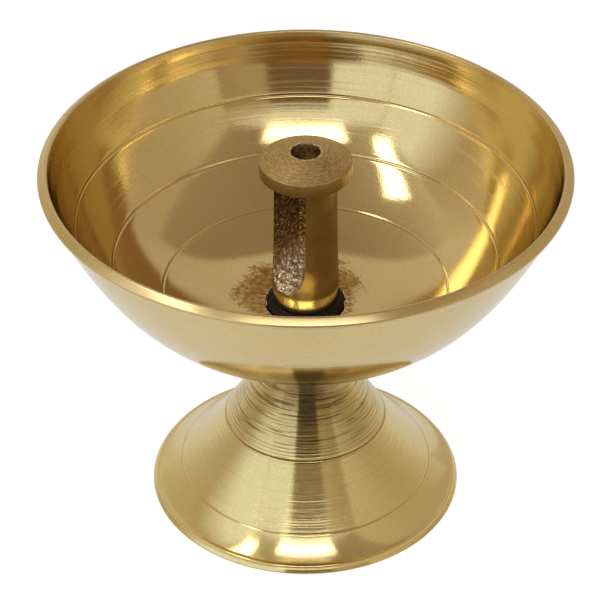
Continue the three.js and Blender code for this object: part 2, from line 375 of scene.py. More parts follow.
# %% Foot sizes
BASE_RADIUS = foot_high.x
BASE_EDGE_HEIGHT, BASE_EDGE_LEAN, BASE_EDGE_ROUND, RIDGE_ROUND = 1.2, 1.0, 0.2, 0.4
NECK_RADIUS, NECK_HEIGHT = 7.5, 31.0
FLARE_REACH, FLARE_RISE, NECK_REACH = 8.3, 0.51, 7.9
FOOT_TOP_RADIUS, FOOT_TOP_BAND = 9.3, 0.9
FOOT_WALL, HOLLOW_HEIGHT = 2.1, 19.0
LOW_GROOVE, HIGH_GROOVE = 5.5, 18.4
FOOT_GROOVE_WIDTH, FOOT_GROOVE_DEPTH = 0.4, 0.14
LIGHT_GROOVES = [HIGH_GROOVE + 0.62 * i for i in (1, 2, 3)]
LIGHT_GROOVE_WIDTH = 0.3
COARSE_PITCH, COARSE_HEIGHT, COARSE_FADE = 0.6, 0.014, 5.0
FINER_RINGS = 2.7
BRUSHED_FADE = 1.5

# %% Foot outline
base_top = Vector((BASE_RADIUS - BASE_EDGE_LEAN, BASE_EDGE_HEIGHT))
flare = Vector((-1.0, FLARE_RISE)).normalized() * FLARE_REACH
foot_outside = curve(
    base_top, base_top + flare, (NECK_RADIUS, NECK_HEIGHT - NECK_REACH), (NECK_RADIUS, NECK_HEIGHT)
)


def coarse(distance):
    """How coarse the turning is: none at the flare, and all at the neck."""
    return min(1.0, max(0.0, (distance - HIGH_GROOVE + 1.0) / COARSE_FADE))


def foot_relief(distance):
    """Two scored lines, three light ones above the upper of them, and the coarse rings."""
    grooves = groove(distance, LOW_GROOVE, FOOT_GROOVE_WIDTH, FOOT_GROOVE_DEPTH / 3)
    grooves += groove(distance, HIGH_GROOVE, FOOT_GROOVE_WIDTH, FOOT_GROOVE_DEPTH)
    for place in LIGHT_GROOVES:
        grooves += groove(distance, place, LIGHT_GROOVE_WIDTH, FOOT_GROOVE_DEPTH / 5)
    ridges = noise.noise(Vector((distance / COARSE_PITCH, 0.3, 0.7)))
    ridges += 0.5 * noise.noise(Vector((distance / COARSE_PITCH * FINER_RINGS, 4.1, 0.2)))
    return -grooves - ridges * COARSE_HEIGHT * coarse(distance)


groove_marks = [LOW_GROOVE, HIGH_GROOVE] + LIGHT_GROOVES
foot_walk = walk(foot_outside, 0.24, foot_relief, groove_marks, reach=0.3, fine=0.07)
# How much painted shade each scored line of the foot gets.
cut_shades = ((LOW_GROOVE, 0.3), (HIGH_GROOVE, 1.0))
swept = []
for spot, distance in foot_walk:
    depths = [(1 - abs(distance - s) / (FOOT_GROOVE_WIDTH / 2)) * share for s, share in cut_shades]
    brushed = min(1.0, max(0.0, (distance - LOW_GROOVE) / BRUSHED_FADE))
    marks = {"coarse": coarse(distance), "cut": max(0.0, *depths), "brushed": brushed}
    swept.append((spot, marks))

# %% Foot's top, hollow and edge
band_bottom = FOOT_HEIGHT - FOOT_TOP_BAND
cove = curve(
    (NECK_RADIUS, NECK_HEIGHT), (NECK_RADIUS, band_bottom - 1.5),
    (NECK_RADIUS + 0.3, band_bottom), (FOOT_TOP_RADIUS, band_bottom),
)
spans = zip(foot_outside, foot_outside[1:])
hollow = [a + Vector((a.y - b.y, b.x - a.x)).normalized() * FOOT_WALL for a, b in spans]
hollow = [p for p in hollow if BASE_EDGE_HEIGHT < p.y < HOLLOW_HEIGHT]
edge_round = arc((BASE_RADIUS - BASE_EDGE_ROUND, BASE_EDGE_ROUND), BASE_EDGE_ROUND, -90, 40)
ridge = arc((base_top.x + 0.05, BASE_EDGE_HEIGHT - 0.28), RIDGE_ROUND, -20, 100, 6)
foot_outline = (
    plain([(hollow[0].x, 0.0)])
    + plain(edge_round + ridge)
    + [pair for pair in swept if pair[0].x < ridge[-1].x - 0.1]
    + [(spot, {"coarse": 1.0, "brushed": 1.0}) for spot, _ in walk(cove, 0.5)][1:]
    + plain([(FOOT_TOP_RADIUS, FOOT_HEIGHT), (STUD_BORE, FOOT_HEIGHT), (STUD_BORE, HOLLOW_HEIGHT)])
    + [(spot, {"hollow": 1.0}) for spot, _ in walk(hollow, 1.0)][::-1]
)
foot = spun("foot_turned", foot_outline, closed=True, marks=("coarse", "cut", "brushed", "hollow"))
print("outside of the foot is", round(lengths(foot_outside)[-1], 1), "mm along its curve")
told(foot)

# %% [markdown]
# ## The wick post
#
# The post is turned from a casting: a flanged head with a hole for the wick, and a waisted stem
# with a bright round foot. The outline runs into the tapped hole below and the wick hole above, so
# that both are part of the spin. Only the slot isn't round. It was left as cast, and its walls are
# as rough as the sand they were poured against.

# %% Post sizes
post_low, post_high = (corner * 1000 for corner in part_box("wick_post"))
POST_SEAT, POST_TOP = post_low.z, post_high.z
HEAD_RADIUS = post_high.x
HEAD_EDGE, CROWN_RISE, WICK_HOLE = 2.3, 1.9, 2.5
HOLE_ROUND, HEAD_ROUND, FILLET = 0.22, 0.15, 0.25
STEM_TOP, STEM_FOOT, STEM_FOOT_HEIGHT = 5.4, 5.8, 3.4
FOOT_SHINE_FADE, RING_SHINE = 0.6, 0.3
TAPPED_DEPTH = 3.8
HEAD_UNDERSIDE = POST_TOP - CROWN_RISE - HEAD_EDGE

# %% Post outline
stem_foot_top = POST_SEAT + STEM_FOOT_HEIGHT
stem_middle = (stem_foot_top + HEAD_UNDERSIDE) / 2
stem = curve(
    (STEM_FOOT, stem_foot_top), (STEM_TOP + 0.1, stem_middle - 4),
    (STEM_TOP, stem_middle), (STEM_TOP, HEAD_UNDERSIDE - FILLET),
)
stem_bottom = curve(
    (STEM_FOOT - 0.36, POST_SEAT + 0.2), (STEM_FOOT - 0.2, POST_SEAT + 1.3),
    (STEM_FOOT - 0.02, POST_SEAT + 2.5), (STEM_FOOT, stem_foot_top - 0.1),
)
head_top = POST_TOP - CROWN_RISE
head_crown = curve(
    (HEAD_RADIUS - 0.2, head_top + 0.12), (6.0, head_top + 0.75),
    (4.2, POST_TOP - 0.35), (WICK_HOLE + HOLE_ROUND, POST_TOP - 0.02),
)
foot_part = [
    (spot, {"foot": min(1.0, (stem_bottom[-1].y - spot.y) / FOOT_SHINE_FADE)})
    for spot, _ in walk(stem_bottom, 0.3)
]
crown_part = [
    (spot, {"top": 1.0, "ring": max(0.0, 1 - (spot.x - WICK_HOLE - HOLE_ROUND) / RING_SHINE)})
    for spot, _ in walk(head_crown, 0.15)
]
tapped_top = POST_SEAT + TAPPED_DEPTH
post_outline = (
    plain([(0.0, tapped_top), (STUD_BORE, tapped_top), (STUD_BORE, POST_SEAT)])
    + plain([(STEM_FOOT - 0.7, POST_SEAT), (STEM_FOOT - 0.48, POST_SEAT + 0.06)])
    + foot_part
    + [(spot, {}) for spot, _ in walk(stem, 0.6)]
    + plain(arc((STEM_TOP + FILLET, HEAD_UNDERSIDE - FILLET), FILLET, 180, 90, 3))
    + plain(arc((HEAD_RADIUS - HEAD_ROUND, HEAD_UNDERSIDE + HEAD_ROUND), HEAD_ROUND, -90, 0, 3))
    + plain(arc((HEAD_RADIUS - HEAD_ROUND, head_top - 0.05), HEAD_ROUND, 0, 60, 3), top=0.5)
    + crown_part
    + plain([(WICK_HOLE + 0.06, POST_TOP - 0.08), (WICK_HOLE, POST_TOP - 0.3)], top=1.0, ring=1.0)
    + plain([(WICK_HOLE, HEAD_UNDERSIDE - 0.5), (0.0, HEAD_UNDERSIDE - 0.5)])
)
post_marks = ("top", "foot", "ring")
post = spun("wick_post_turned", post_outline, closed=False, steps=SPIN_STEPS // 2, marks=post_marks)
told(post)

# %% [markdown]
# The slot is cut with a solid of its own shape. The cutter is a flat-topped U, pushed through the
# stem and sheared so that its round floor falls towards the open side. It is remeshed into small
# even faces and then roughened with two noises, a fine one and a wide one, and the Boolean modifier
# leaves that roughness in the post.

# %% Slot cutter
SLOT_WIDTH, SLOT_PAST_AXIS, SLOT_FLOOR_FRONT, SLOT_FLOOR_RISE = 7.4, 2.5, 3.4, 3.4
SLOT_TOP_GAP = 0.12
GRAIN = 0.20
FINE_NOISE, FINE_DEPTH = 2.3, 0.085
WIDE_NOISE, WIDE_DEPTH = 0.9, 0.12

half_slot = SLOT_WIDTH / 2
back_floor = POST_SEAT + SLOT_FLOOR_FRONT + SLOT_FLOOR_RISE
slot_top = HEAD_UNDERSIDE - SLOT_TOP_GAP
push = SLOT_PAST_AXIS + HEAD_RADIUS
slope = SLOT_FLOOR_RISE / (SLOT_PAST_AXIS + STEM_FOOT)

bm = bmesh.new()
u_shape = [(half_slot, slot_top), (-half_slot, slot_top)]
u_shape += [tuple(p) for p in arc((0, back_floor + half_slot), half_slot, 180, 360, 16)]
ring = [bm.verts.new((x * MM, SLOT_PAST_AXIS * MM, z * MM)) for x, z in u_shape]
back_face = bm.faces.new(ring)
pushed = bmesh.ops.extrude_face_region(bm, geom=[back_face])["geom"]
front = [v for v in pushed if isinstance(v, bmesh.types.BMVert)]
bmesh.ops.translate(bm, verts=front, vec=(0, -push * MM, 0))
for vert in front:
    if vert.co.z < (back_floor + slot_top) / 2 * MM:
        vert.co.z -= slope * push * MM
bmesh.ops.recalc_face_normals(bm, faces=bm.faces)
cutter = finished("slot_cutter", bm)

# %% Roughen the cutter
remesh = cutter.modifiers.new("even faces", "REMESH")
remesh.mode = "VOXEL"
remesh.voxel_size = GRAIN * MM
bpy.context.view_layer.update()
depsgraph = bpy.context.evaluated_depsgraph_get()
rough_slot = bpy.data.meshes.new_from_object(cutter.evaluated_get(depsgraph))
cutter.modifiers.clear()
cutter.data = rough_slot
shifts = []
for vert in rough_slot.vertices:
    spot = vert.co / MM
    fine = noise.noise(spot * FINE_NOISE) * FINE_DEPTH
    wide = noise.noise(spot * WIDE_NOISE + Vector((7, 3, 1))) * WIDE_DEPTH
    shifts.append(vert.normal * (fine + wide) * MM)
for vert, shift in zip(rough_slot.vertices, shifts):
    vert.co += shift
print("slot cutter:", len(rough_slot.vertices), "points")

# %% [markdown]
# ## Brass
#
# Brass has one colour, and everything else about it is how rough it is and in which direction.
# A turned surface scatters light across its rings and keeps it sharp along them, so the shader is
# anisotropic. The effects that several finishes share are node groups: rings from the lathe, and
# soft blotches from handling. Each group takes its sizes from the material that it stands in. All
# sizes below are in millimetres.


# %% Node helpers
def add(tree, kind, inputs=None, **settings):
    """Adds a node. An input, named or numbered, is a value or the output that feeds it."""
    made = tree.nodes.new(kind)
    for key, value in settings.items():
        setattr(made, key, value)
    for key, value in (inputs or {}).items():
        if isinstance(value, bpy.types.NodeSocket):
            tree.links.new(value, made.inputs[key])
        else:
            made.inputs[key].default_value = value
    return made


def maths(tree, operation, first, second=0.0, third=0.0, clamp=False):
    """One sum, and its output. The third number is what MULTIPLY_ADD adds."""
    inputs = {0: first, 1: second, 2: third}
    return add(tree, "ShaderNodeMath", inputs, operation=operation, use_clamp=clamp).outputs[0]


def vector_maths(tree, operation, inputs, output=0):
    """One sum of vectors, and its output."""
    return add(tree, "ShaderNodeVectorMath", inputs, operation=operation).outputs[output]


def place_on(tree):
    """Where a point lies on its own piece."""
    return add(tree, "ShaderNodeTexCoord").outputs["Object"]


def blended(tree, share, below, above):
    """Two colours mixed by a share, and the output."""
    return add(tree, "ShaderNodeMix", {0: share, 6: below, 7: above}, data_type="RGBA").outputs[2]


def ranged(tree, value, low, high, to_low=0.0, to_high=1.0):
    """Takes one range to another, with a smooth start and end."""
    made = add(
        tree, "ShaderNodeMapRange",
        {"Value": value, "From Min": low, "From Max": high, "To Min": to_low, "To Max": to_high},
        interpolation_type="SMOOTHSTEP",
    )
    return made.outputs["Result"]


def group(name, inputs, outputs):
    """A new node group with float inputs, given as {name: default}, and float outputs."""
    tree = bpy.data.node_groups.new(name, "ShaderNodeTree")
    for key, value in inputs.items():
        socket = tree.interface.new_socket(name=key, in_out="INPUT", socket_type="NodeSocketFloat")
        socket.default_value = value
    for key in outputs:
        tree.interface.new_socket(name=key, in_out="OUTPUT", socket_type="NodeSocketFloat")
    return tree, add(tree, "NodeGroupInput").outputs, add(tree, "NodeGroupOutput").inputs


# %% Lathe rings, as a group
def make_rings():
    """Rings at even distances from a point on the axis, which drift a little round the piece."""
    inputs = {"Centre Height": 0.0, "Spacing": 0.0005, "Drift": 1.0}
    tree, given, out = group("lathe_rings", inputs, ["Rings", "Distance"])
    place = place_on(tree)
    centre = add(tree, "ShaderNodeCombineXYZ", {"Z": given["Centre Height"]}).outputs[0]
    from_centre = vector_maths(tree, "SUBTRACT", {0: place, 1: centre})
    distance = vector_maths(tree, "LENGTH", {0: from_centre}, "Value")
    flat = vector_maths(tree, "MULTIPLY", {0: place, 1: (1, 1, 0)})
    round_it = vector_maths(tree, "NORMALIZE", {0: flat})
    drift = vector_maths(tree, "SCALE", {0: round_it, "Scale": given["Drift"]})
    step = maths(tree, "DIVIDE", distance, given["Spacing"])
    along = add(tree, "ShaderNodeCombineXYZ", {"Z": step}).outputs[0]
    spot = vector_maths(tree, "ADD", {0: drift, 1: along})
    settings = {"Vector": spot, "Scale": 1.0, "Detail": 2.0, "Roughness": 0.6}
    lines = add(tree, "ShaderNodeTexNoise", settings)
    tree.links.new(lines.outputs["Fac"], out["Rings"])
    tree.links.new(distance, out["Distance"])
    return tree


rings_group = make_rings()


# %% Blotches, as a group
def make_blotches():
    """Soft patches of a given size, from 0 to 1."""
    tree, given, out = group("blotches", {"Size": 0.01, "Softness": 0.2}, ["Mask"])
    scale = maths(tree, "DIVIDE", 1.0, given["Size"])
    settings = {"Vector": place_on(tree), "Scale": scale, "Detail": 4.0, "Roughness": 0.55}
    clouds = add(tree, "ShaderNodeTexNoise", settings)
    low = maths(tree, "SUBTRACT", 0.5, given["Softness"])
    high = maths(tree, "ADD", 0.5, given["Softness"])
    tree.links.new(ranged(tree, clouds.outputs["Fac"], low, high), out["Mask"])
    return tree


blotches_group = make_blotches()


# %% Material starts
def new_material(name):
    """A material with only its output and a Principled shader."""
    made = bpy.data.materials.new(name)
    made.use_nodes = True
    tree = made.node_tree
    tree.nodes.clear()
    shader = add(tree, "ShaderNodeBsdfPrincipled")
    add(tree, "ShaderNodeOutputMaterial", {"Surface": shader.outputs[0]})
    return made, tree, shader


def rings(tree, centre, spacing, drift=1.0):
    """The lathe rings group, placed in a material."""
    made = add(tree, "ShaderNodeGroup", node_tree=rings_group)
    made.inputs["Centre Height"].default_value = centre * MM
    made.inputs["Spacing"].default_value = spacing * MM
    made.inputs["Drift"].default_value = drift
    return made.outputs


def blotches(tree, size, softness=0.2):
    """The blotches group, placed in a material."""
    made = add(tree, "ShaderNodeGroup", node_tree=blotches_group)
    made.inputs["Size"].default_value = size * MM
    made.inputs["Softness"].default_value = softness
    return made.outputs["Mask"]


def attribute(tree, name):
    """A value that was written on the outline."""
    return add(tree, "ShaderNodeAttribute", attribute_name=name).outputs["Fac"]


def bumped(tree, height, depth, normal=None):
    """A bump of a given depth in millimetres, and its output."""
    inputs = {"Height": height, "Distance": depth * MM, "Strength": 1.0}
    if normal is not None:
        inputs["Normal"] = normal
    return add(tree, "ShaderNodeBump", inputs).outputs["Normal"]


# %% What the brasses share
# A dark brown for real specks of old polish, and for painted shade in scored lines and on the foot.
DARK_SPECK_AND_SHADE = (0.26, 0.155, 0.05, 1)
GRAIN_SIZE, GRAIN_SOFTNESS = 0.3, 0.25
ACROSS_RINGS = 0.25


def grained(tree, colour, share):
    """A colour with fine dark specks, as old polish leaves them."""
    specks = maths(tree, "MULTIPLY", blotches(tree, GRAIN_SIZE, GRAIN_SOFTNESS), share)
    return blended(tree, specks, colour, DARK_SPECK_AND_SHADE)


def metal(shader, stretch=0.0):
    """Metal, whose reflections may stretch across the rings of the lathe."""
    shader.inputs["Metallic"].default_value = 1.0
    if stretch:
        shader.inputs["Anisotropic"].default_value = stretch
        shader.inputs["Anisotropic Rotation"].default_value = ACROSS_RINGS


def feed(tree, shader, colour, rough, bump):
    """Feeds the three inputs that every finish varies over its surface."""
    tree.links.new(colour, shader.inputs["Base Color"])
    tree.links.new(rough, shader.inputs["Roughness"])
    tree.links.new(bump, shader.inputs["Normal"])


# %% [markdown]
# ## Polished brass, for the bowl
#
# Inside, the polish left the fine rings of the lathe. Near the rim the tool tore the metal a
# little, so the rings there are deeper and duller. The lip was faced off last and shines less.
# Oil and soot have bitten into the floor round the seal, in a brown ring with a torn edge: its
# reach from the axis is pushed in and out by two sizes of blotches, and further out on one side.

# %% Stain on the bowl's floor
STAIN_REACH, STAIN_SPREAD = 6.9, 3.2
STAIN_SIDE = (AWAY * 0.9 - RIGHT * 0.42).normalized()
SIDE_WIDTH, SIDE_SHARE = 9.0, 0.9


def floor_stain(tree, distance, inside):
    """How dark the stain is at a distance from the axis, from 0 to 1."""
    sideways = vector_maths(tree, "DOT_PRODUCT", {0: place_on(tree), 1: STAIN_SIDE}, "Value")
    side = ranged(tree, sideways, -SIDE_WIDTH * MM, SIDE_WIDTH * MM, -SIDE_SHARE, SIDE_SHARE)
    wide, small = blotches(tree, 3.0, softness=0.3), blotches(tree, 0.6, softness=0.3)
    torn = maths(tree, "MULTIPLY_ADD", small, 0.9, wide)
    torn = maths(tree, "ADD", torn, side)
    reach = maths(tree, "MULTIPLY_ADD", torn, STAIN_SPREAD * MM, STAIN_REACH * MM)
    edge = ranged(tree, maths(tree, "SUBTRACT", reach, distance), -1.0 * MM, 1.5 * MM)
    patchy = ranged(tree, blotches(tree, 0.9), 0.0, 1.0, 0.45, 1.0)
    return maths(tree, "MULTIPLY", maths(tree, "MULTIPLY", edge, inside), patchy)


# %% Polished brass
BOWL_BRASS, BOWL_WARM = (0.72, 0.56, 0.26, 1), (0.69, 0.53, 0.24, 1)
STAIN_BROWN, BURR_GLINT = (0.38, 0.19, 0.035, 1), (0.95, 0.80, 0.66, 1)
# How far from the middle of the floor the rings are torn, and how far they grow deeper.
TORN_START, TORN_END = 33.0, 38.0
DEEP_START, DEEP_END = 36.0, 50.0


def polished_brass():
    made, tree, shader = new_material("polished_brass")
    inside, lip, cut, burr = (attribute(tree, key) for key in ("inside", "lip", "cut", "burr"))
    fine = rings(tree, FLOOR_HEIGHT, spacing=0.42, drift=1.2)
    hair = rings(tree, FLOOR_HEIGHT, spacing=0.09, drift=3.0)
    cloud = blotches(tree, 14.0)
    stain = floor_stain(tree, fine["Distance"], inside)

    colour = blended(tree, cloud, BOWL_BRASS, BOWL_WARM)
    # Painted shade in the three scored lines.
    colour = blended(tree, maths(tree, "MULTIPLY", cut, 0.1), colour, DARK_SPECK_AND_SHADE)
    colour = grained(tree, colour, 0.2)
    colour = blended(tree, maths(tree, "MULTIPLY", stain, 0.9), colour, STAIN_BROWN)
    # Painted glints on the torn teeth round the seal recess.
    glint_spots = ranged(tree, blotches(tree, 0.35, softness=0.1), 0.4, 0.8)
    colour = blended(tree, maths(tree, "MULTIPLY", burr, glint_spots), colour, BURR_GLINT)

    near_rim = ranged(tree, fine["Distance"], TORN_START * MM, TORN_END * MM)
    torn = maths(tree, "MULTIPLY", ranged(tree, fine["Rings"], 0.5, 0.66), near_rim)
    torn = maths(tree, "MULTIPLY", torn, inside)
    rough = maths(tree, "MULTIPLY_ADD", cloud, 0.02, 0.08)
    for mask, more in ((lip, 0.2), (stain, 0.25), (torn, 0.09)):
        rough = maths(tree, "MULTIPLY_ADD", mask, more, rough)

    deep = ranged(tree, fine["Distance"], DEEP_START * MM, DEEP_END * MM, 0.5, 2.4)
    bump = bumped(tree, blotches(tree, 0.3, softness=0.3), 0.0022)
    bump = bumped(tree, hair["Rings"], 0.0008, bump)
    bump = bumped(tree, maths(tree, "MULTIPLY", fine["Rings"], deep), 0.007, bump)
    feed(tree, shader, colour, rough, bump)
    metal(shader, 0.6)
    return made


bowl.data.materials.append(polished_brass())

# %% [markdown]
# ## Turned brass, for the foot
#
# The same metal with a coarser finish, and a little lighter. Painted shade darkens the valleys of
# the coarse rings near the neck, most of it just below the bowl, so the ring pattern drives the
# colour there as well as the bump. The whole neck, the scored lines and the hollow inside are
# darkened with painted shade too.

# %% Turned brass
FOOT_BRASS, FOOT_WARM = (0.78, 0.63, 0.29, 1), (0.75, 0.60, 0.27, 1)
RING_CENTRE = 40.0
BELOW_BOWL, CLEAR_OF_BOWL = 9.0, 16.0


def turned_brass():
    made, tree, shader = new_material("turned_brass")
    coarse_part, cut, hidden, brushed = (
        attribute(tree, key) for key in ("coarse", "cut", "hollow", "brushed")
    )
    fine = rings(tree, RING_CENTRE, spacing=0.42, drift=0.5)
    torn = rings(tree, RING_CENTRE, spacing=0.28, drift=1.3)
    # Painted shade: more of each ring's valley turns dark just below the bowl.
    near_bowl = ranged(tree, torn["Distance"], CLEAR_OF_BOWL * MM, BELOW_BOWL * MM, 0.0, 0.1)
    valleys = ranged(tree, maths(tree, "SUBTRACT", torn["Rings"], near_bowl), 0.49, 0.38)
    painted_shade = maths(tree, "MULTIPLY", maths(tree, "MULTIPLY", valleys, coarse_part), 0.95)
    # Painted shade in the scored lines, inside the hollow, and over the whole neck.
    for mask, share in ((cut, 0.8), (hidden, 0.5), (coarse_part, 0.2)):
        painted_shade = maths(tree, "MAXIMUM", painted_shade, maths(tree, "MULTIPLY", mask, share))
    colour = grained(tree, blended(tree, blotches(tree, 11.0), FOOT_BRASS, FOOT_WARM), 0.18)
    colour = blended(tree, painted_shade, colour, DARK_SPECK_AND_SHADE)

    rough = maths(tree, "MULTIPLY_ADD", brushed, 0.04, 0.13)
    rough = maths(tree, "MULTIPLY_ADD", hidden, 0.2, rough)
    depth = maths(tree, "MULTIPLY_ADD", coarse_part, -0.45, brushed)
    bump = bumped(tree, blotches(tree, 0.3, softness=0.3), 0.002)
    bump = bumped(tree, maths(tree, "MULTIPLY", fine["Rings"], depth), 0.05, bump)
    feed(tree, shader, colour, rough, bump)
    metal(shader, 0.8)
    return made


foot.data.materials.append(turned_brass())

# %% [markdown]
# ## Post brass
#
# The post was never polished. Its head shows the marks of a blunt tool, in arcs round the wick
# hole, and the edge of the hole has painted glints. The stem is dull, and its foot was turned
# bright.
# The slot is bare casting. The slot's own material goes on the cutter, and the Boolean carries it
# over to the faces that it cuts.

# %% Post brass
POST_BRASS, POST_WARM = (0.44, 0.30, 0.115, 1), (0.36, 0.24, 0.08, 1)
POST_SPECK = (0.18, 0.11, 0.04, 1)
SCRAPED_DARK, SCRAPED_LIGHT = (0.36, 0.22, 0.075, 1), (0.66, 0.47, 0.20, 1)
FOOT_BRIGHT, HOLE_GLINT = (0.95, 0.82, 0.36, 1), (0.95, 0.84, 0.62, 1)


def post_brass():
    made, tree, shader = new_material("post_brass")
    top, ring_mark, turned = (attribute(tree, key) for key in ("top", "ring", "foot"))
    fine = rings(tree, POST_TOP, spacing=0.22, drift=5.0)
    dull = maths(tree, "SUBTRACT", top, ring_mark, clamp=True)

    colour = blended(tree, blotches(tree, 3.0, softness=0.25), POST_BRASS, POST_WARM)
    specks = maths(tree, "MULTIPLY", blotches(tree, 0.3), 0.25)
    colour = blended(tree, specks, colour, POST_SPECK)
    patches = maths(tree, "MULTIPLY", blotches(tree, 0.5), 0.4)
    arcs = ranged(tree, fine["Rings"], 0.38, 0.6)
    scraped = maths(tree, "MULTIPLY_ADD", arcs, 0.6, patches)
    scraped = blended(tree, scraped, SCRAPED_DARK, SCRAPED_LIGHT)
    colour = blended(tree, maths(tree, "MULTIPLY", dull, 0.9), colour, scraped)
    colour = blended(tree, turned, colour, FOOT_BRIGHT)
    # Painted glints round the edge of the wick hole.
    glints = ranged(tree, blotches(tree, 0.4, softness=0.15), 0.3, 0.8)
    colour = blended(tree, maths(tree, "MULTIPLY", ring_mark, glints), colour, HOLE_GLINT)

    rough = maths(tree, "MULTIPLY_ADD", dull, 0.10, 0.42)
    bright = maths(tree, "MAXIMUM", turned, ring_mark)
    rough = maths(tree, "MULTIPLY_ADD", bright, -0.24, rough)
    deeper = maths(tree, "ADD", maths(tree, "MAXIMUM", dull, ring_mark), 0.35)
    pits = maths(tree, "MULTIPLY", blotches(tree, 0.3, softness=0.3), deeper)
    bump = bumped(tree, pits, 0.03)
    bump = bumped(tree, fine["Rings"], 0.02, bump)
    feed(tree, shader, colour, rough, bump)
    metal(shader, 0.4)
    return made


# %% [markdown]
# In the slot the tool smeared the cast metal in slanted strokes. A noise that is stretched along
# one direction and squeezed across it gives strokes. Their colour holds painted light: painted
# shade high up under the head, with near-white painted glints in the strokes, and paler painted
# light low down, where the floor of the slot faces up.

# %% Cast brass
SMEARS = (
    ((RIGHT * 0.75 + UP * 0.66).normalized(), 0.95),
    ((UP * 0.75 - RIGHT * 0.66).normalized(), 0.3),
    (AWAY, 0.7),
)
# Painted shade with painted glints high in the slot, and paler painted light low down.
SHADED_TOP_DARK, SHADED_TOP_GLINT = (0.25, 0.165, 0.08, 1), (0.95, 0.80, 0.58, 1)
LIT_LOW_DARK, LIT_LOW_PALE = (0.48, 0.35, 0.19, 1), (0.85, 0.71, 0.48, 1)
LIT_BELOW, LIT_FROM = 5.0, 1.0


def cast_brass():
    made, tree, shader = new_material("cast_brass")
    place = place_on(tree)
    steps = []
    for direction, size in SMEARS:
        along = vector_maths(tree, "DOT_PRODUCT", {0: place, 1: direction}, "Value")
        steps.append(maths(tree, "DIVIDE", along, size * MM))
    spot = add(tree, "ShaderNodeCombineXYZ", dict(zip("XYZ", steps))).outputs[0]
    settings = {"Vector": spot, "Scale": 1.0, "Detail": 2.0, "Roughness": 0.6}
    smears = add(tree, "ShaderNodeTexNoise", settings).outputs["Fac"]

    height = add(tree, "ShaderNodeSeparateXYZ", {0: place}).outputs["Z"]
    # Painted light: the share that makes the strokes paler towards the floor of the slot.
    low = ranged(tree, height, (back_floor + LIT_BELOW) * MM, (back_floor + LIT_FROM) * MM)
    painted_shade = blended(tree, ranged(tree, smears, 0.45, 0.7), SHADED_TOP_DARK, SHADED_TOP_GLINT)
    lit_strokes = blended(tree, ranged(tree, smears, 0.35, 0.62), LIT_LOW_DARK, LIT_LOW_PALE)
    colour = blended(tree, low, painted_shade, lit_strokes)
    rough = ranged(tree, smears, 0.4, 0.65, 0.45, 0.12)
    bump = bumped(tree, blotches(tree, 0.8, softness=0.3), 0.15)
    bump = bumped(tree, smears, 0.22, bump)
    feed(tree, shader, colour, rough, bump)
    metal(shader)
    return made


post.data.materials.append(post_brass())
rough_slot.materials.clear()
rough_slot.materials.append(cast_brass())

# %% Cut the slot
cut_slot = post.modifiers.new("slot", "BOOLEAN")
cut_slot.operation = "DIFFERENCE"
cut_slot.solver = "EXACT"
cut_slot.material_mode = "TRANSFER"
cut_slot.object = cutter
bpy.context.view_layer.update()
depsgraph = bpy.context.evaluated_depsgraph_get()
cut_mesh = bpy.data.meshes.new_from_object(post.evaluated_get(depsgraph))
post.modifiers.clear()
post.data = cut_mesh
cut_mesh.name = post.name
bpy.data.objects.remove(cutter)
print("post materials:", [m.name for m in cut_mesh.materials])
told(post)

# %% [markdown]
# ## The seal
#
# A ring of black rubber lies in the recess, squeezed by the post until its edge bulges. It shows as
# a dark ring round the foot of the post. It is one more outline to spin, with an arc for the bulge.

# %% Seal
seal_low, seal_high = (corner * 1000 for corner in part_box("post_seal"))
SEAL_RADIUS = seal_high.x
SEAL_BULGE = 0.45

bulge_start = SEAL_RADIUS - SEAL_BULGE
seal_outline = (
    plain([(STUD_BORE, seal_low.z), (bulge_start, seal_low.z)])
    + plain(arc((bulge_start, (seal_low.z + seal_high.z) / 2), SEAL_BULGE, -80, 80, 8))
    + plain([(bulge_start, seal_high.z), (STUD_BORE, seal_high.z)])
)
seal = spun("post_seal_ring", seal_outline, closed=True, steps=96)


# %% Black rubber
RUBBER, RUBBER_WORN = (0.008, 0.003, 0.004, 1), (0.020, 0.008, 0.009, 1)
RUBBER_SHEEN = 0.25


def black_rubber():
    made, tree, shader = new_material("black_rubber")
    worn = blotches(tree, 1.2, softness=0.25)
    colour = blended(tree, worn, RUBBER, RUBBER_WORN)
    rough = maths(tree, "MULTIPLY_ADD", worn, 0.3, 0.35)
    bump = bumped(tree, blotches(tree, 0.5, softness=0.3), 0.05)
    feed(tree, shader, colour, rough, bump)
    shader.inputs["Specular IOR Level"].default_value = RUBBER_SHEEN
    return made


seal.data.materials.append(black_rubber())
told(seal)

# %% [markdown]
# ## The stud and its hardware
#
# Under the foot, a threaded stud, two washers and a nut hold the lamp together. The thread is a
# zigzag profile spun with a rise, which is how the screw operator works. The washers and the nut
# are right as they come from the frame and only need their zinc.

# %% Stud
stud_low, stud_high = (corner * 1000 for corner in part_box("stud"))
STUD_RADIUS = stud_high.x
THREAD_PITCH, THREAD_DEPTH, THREAD_STEPS = 0.8, 0.42, 24
STUD_CHAMFER = 0.35
thread_turns = int((stud_high.z - stud_low.z - 2 * THREAD_PITCH) / THREAD_PITCH)

